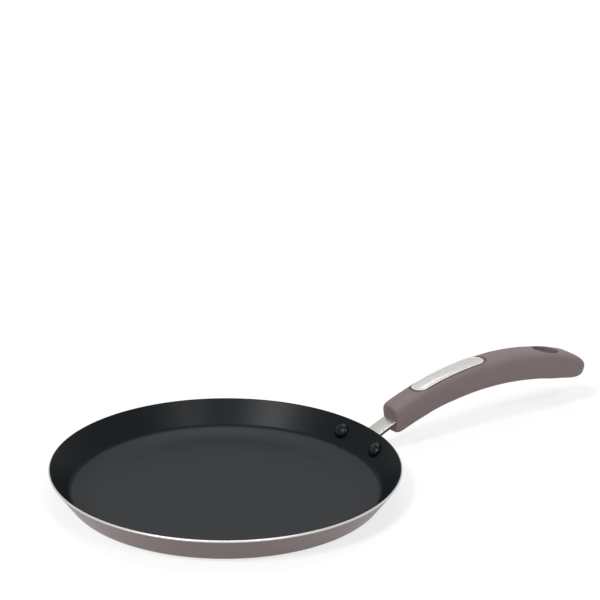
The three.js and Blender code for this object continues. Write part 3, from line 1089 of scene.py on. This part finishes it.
def gripScrew():
    bm = bmesh.new()
    underHead = screwSeat - 2 * screw["gap"] - screw["washerThickness"]
    head = underHead - screw["headHeight"]
    shoulder = underHead - screw["shoulderHeight"]
    tip = plate["thickness"] / 2 - neck["tangDrop"] + screw["reach"]
    corners = [
        (0, head, 0),
        (screw["headRadius"] * screw["crownShare"], head, screw["crownRounding"]),
        (screw["headRadius"], shoulder, screw["shoulderRounding"]),
        (screw["headRadius"], underHead, 0),
        (screw["radius"], underHead, 0),
        (screw["radius"], tip - screw["radius"] / 2, 0),
        (screw["radius"] / 2, tip, 0),
        (0, tip, 0),
    ]
    profileWire(bm, corners, segments=screw["arcSteps"])
    turnAboutAxis(bm, screw["steps"])
    cutCross(bm, underHead)
    bmesh.ops.transform(bm, matrix=alongGrip(screw["place"]), verts=bm.verts)
    finishPiece(bm, "gripScrew", [zinc], ["grip_screw"])


def splitWasher():
    bm = bmesh.new()
    high = screwSeat - screw["gap"]
    low = high - screw["washerThickness"]
    inner = screw["radius"] + screw["gap"]
    ring = [(inner, low), (screw["headRadius"], low), (screw["headRadius"], high), (inner, high)]
    bm.faces.new([bm.verts.new((radius, 0, height)) for radius, height in ring])
    turnAboutAxis(bm, screw["steps"], wholeTurn - screw["washerSplit"] / screw["headRadius"])
    bmesh.ops.transform(bm, matrix=alongGrip(screw["place"]), verts=bm.verts)
    finishPiece(bm, "splitWasher", [zinc], ["spring_washer"])


gripScrew()
splitWasher()


# Stage: pale floor, soft light and the photograph's camera

floor = {
    "size": 12,
    "below": 0.1 * mm,
    "color": (0.86, 0.86, 0.86),
    "shownShade": 0.3,
    "shownLight": 0.73,
}
light = {"worldStrength": 0.3, "shownStrength": 1, "white": (1, 1, 1)}
softboxes = {
    "leftBox": {"toward": (-0.646, -0.221, 0.73), "spread": math.radians(15), "strength": 1.9},
    "rightBox": {"toward": (-0.01, -0.66, 0.742), "spread": math.radians(13), "strength": 0.7},
    "backBox": {"toward": (0.239, 0.348, 0.906), "spread": math.radians(30), "strength": 0.62},
}
camera = {
    "lens": 120,
    "place": (-0.667, -1.0566, 0.5694),
    "azimuth": math.radians(34.5),
    "pitch": math.radians(19.03),
    "roll": 0.014,  # radians
}


# 1 for rays that show the background: straight to the camera, or by way of gloss or glass
def shownRays(nodes, links):
    path = nodes.new("ShaderNodeLightPath")
    shown = path.outputs["Is Camera Ray"]
    for ray in ("Is Glossy Ray", "Is Transmission Ray"):
        either = nodes.new("ShaderNodeMath")
        either.operation = "MAXIMUM"
        links.new(shown, either.inputs[0])
        links.new(path.outputs[ray], either.inputs[1])
        shown = either.outputs["Value"]
    return shown


# Plain paper for the light it throws back, and a shaded glow where it is seen
def palePaper():
    finish = bpy.data.materials.new("palePaper")
    finish.use_nodes = True
    nodes, links = finish.node_tree.nodes, finish.node_tree.links
    nodes.remove(nodes["Principled BSDF"])
    paper = nodes.new("ShaderNodeBsdfDiffuse")
    paper.inputs["Color"].default_value = (*floor["color"], 1)
    shownPaper = nodes.new("ShaderNodeBsdfDiffuse")
    shownPaper.inputs["Color"].default_value = (*shade(light["white"], floor["shownShade"]), 1)
    glow = nodes.new("ShaderNodeEmission")
    glow.inputs["Strength"].default_value = floor["shownLight"]
    shown = nodes.new("ShaderNodeAddShader")
    links.new(shownPaper.outputs["BSDF"], shown.inputs[0])
    links.new(glow.outputs["Emission"], shown.inputs[1])
    choice = nodes.new("ShaderNodeMixShader")
    links.new(shownRays(nodes, links), choice.inputs["Fac"])
    links.new(paper.outputs["BSDF"], choice.inputs[1])
    links.new(shown.outputs["Shader"], choice.inputs[2])
    links.new(choice.outputs["Shader"], nodes["Material Output"].inputs["Surface"])
    return finish


def paleFloor():
    bm = bmesh.new()
    bmesh.ops.create_grid(bm, x_segments=1, y_segments=1, size=floor["size"] / 2)
    bmesh.ops.translate(bm, verts=bm.verts, vec=(0, 0, -floor["below"]))
    mesh = bpy.data.meshes.new("paleFloor")
    bm.to_mesh(mesh)
    bm.free()
    mesh.materials.append(palePaper())
    plane = bpy.data.objects.new("paleFloor", mesh)
    bpy.context.scene.collection.objects.link(plane)


def studioWorld():
    world = bpy.data.worlds.new("studioWorld")
    bpy.context.scene.world = world
    world.use_nodes = True
    nodes, links = world.node_tree.nodes, world.node_tree.links
    background = nodes["Background"]
    background.inputs["Color"].default_value = (*light["white"], 1)
    strength = nodes.new("ShaderNodeMapRange")
    strength.inputs["To Min"].default_value = light["worldStrength"]
    strength.inputs["To Max"].default_value = light["shownStrength"]
    links.new(shownRays(nodes, links), strength.inputs["Value"])
    links.new(strength.outputs["Result"], background.inputs["Strength"])


def studioLamps():
    for name, box in softboxes.items():
        lamp = bpy.data.lights.new(name, "SUN")
        lamp.angle = box["spread"]
        lamp.energy = box["strength"]
        holder = bpy.data.objects.new(name, lamp)
        toward = Vector(box["toward"]).normalized()
        turn = toward.to_track_quat("Z", "Y").to_matrix().to_4x4()
        holder.matrix_world = Matrix.Translation(toward) @ turn
        bpy.context.scene.collection.objects.link(holder)


def photoCamera():
    data = bpy.data.cameras.new("photoCamera")
    data.lens = camera["lens"]
    holder = bpy.data.objects.new("photoCamera", data)
    azimuth, pitch, roll = camera["azimuth"], camera["pitch"], camera["roll"]
    forward = Vector((
        math.cos(pitch) * math.sin(azimuth),
        math.cos(pitch) * math.cos(azimuth),
        -math.sin(pitch),
    ))
    level = Vector((math.cos(azimuth), -math.sin(azimuth), 0))
    upward = level.cross(forward)
    right = level * math.cos(roll) + upward * math.sin(roll)
    up = upward * math.cos(roll) - level * math.sin(roll)
    turn = Matrix((right, up, -forward)).transposed().to_4x4()
    holder.matrix_world = Matrix.Translation(camera["place"]) @ turn
    bpy.context.scene.collection.objects.link(holder)
    bpy.context.scene.camera = holder


paleFloor()
studioWorld()
studioLamps()
photoCamera()
bpy.context.scene.view_settings.view_transform = "Standard"
print("stage ready")
